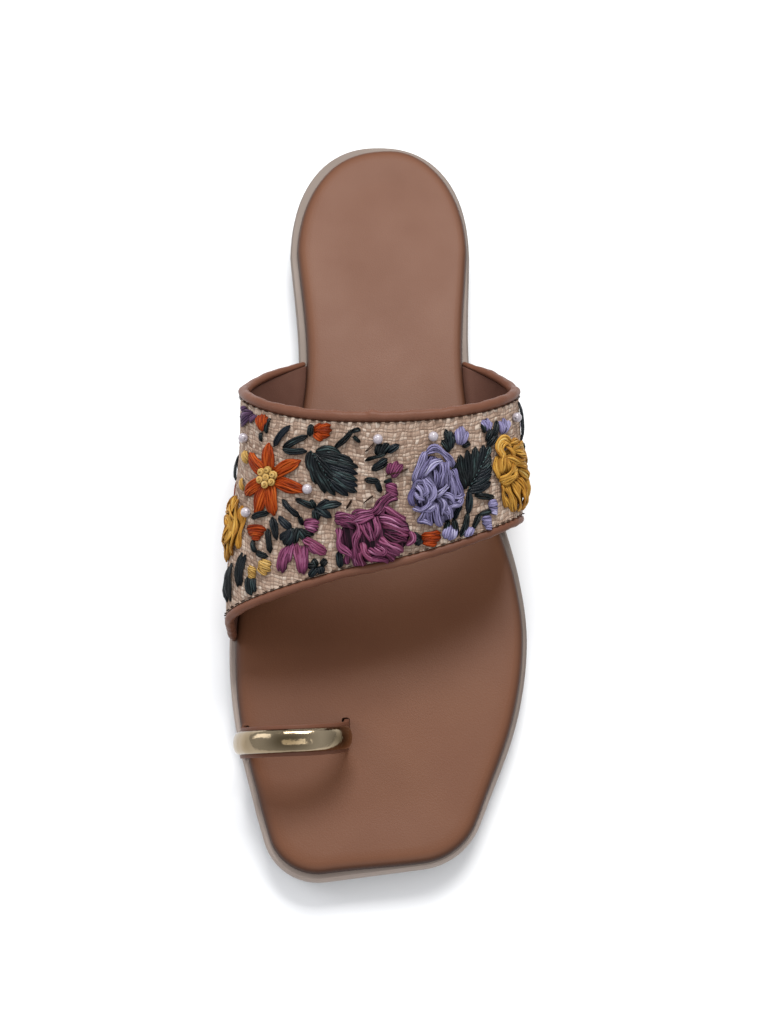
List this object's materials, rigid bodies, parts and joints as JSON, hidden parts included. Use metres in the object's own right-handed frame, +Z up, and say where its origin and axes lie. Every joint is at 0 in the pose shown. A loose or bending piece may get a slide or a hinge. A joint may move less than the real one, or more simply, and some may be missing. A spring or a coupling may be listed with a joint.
{
  "type": "kolhapuri sandal",
  "caption": "Flat slip-on sandal for the left foot: square-toed sole, padded insole, slanting embroidered instep band and a big-toe loop with a gold plate.",
  "frame": {"origin": "centre of the bounding box at floor level", "axes": "+Z up, -Y towards the toe, -X towards the big toe side and +X towards the little toe side"},
  "size_m": [0.0884, 0.2447, 0.0611],
  "materials": {
    "outsole": "matt dark brown moulded sole",
    "midsole": "champagne gold foil wrap",
    "insole": "satin tan padded leather",
    "band": "beige plain weave",
    "binding": "satin tan rolled leather",
    "gold": "polished pale gold plating",
    "lavender": "dyed flat strips, wound",
    "mauve": "dyed flat strips, wound",
    "yellow": "dyed flat strips, wound",
    "orange": "dyed flat strips, stitched",
    "leaf": "dyed flat strips, satin stitched"
  },
  "bodies": {
    "root": {"outsole": "outsole", "midsole": "midsole", "insole": "insole", "instep_band": "band", "collar_binding": "binding", "front_binding": "binding", "toe_loop": "binding", "toe_loop_trim": "gold", "lavender_rose": "lavender", "mauve_rose": "mauve", "yellow_rose": "yellow", "yellow_bloom": "yellow", "orange_daisy": "orange", "inner_leaf": "leaf", "outer_leaf": "leaf"}
  },
  "joints": []
}
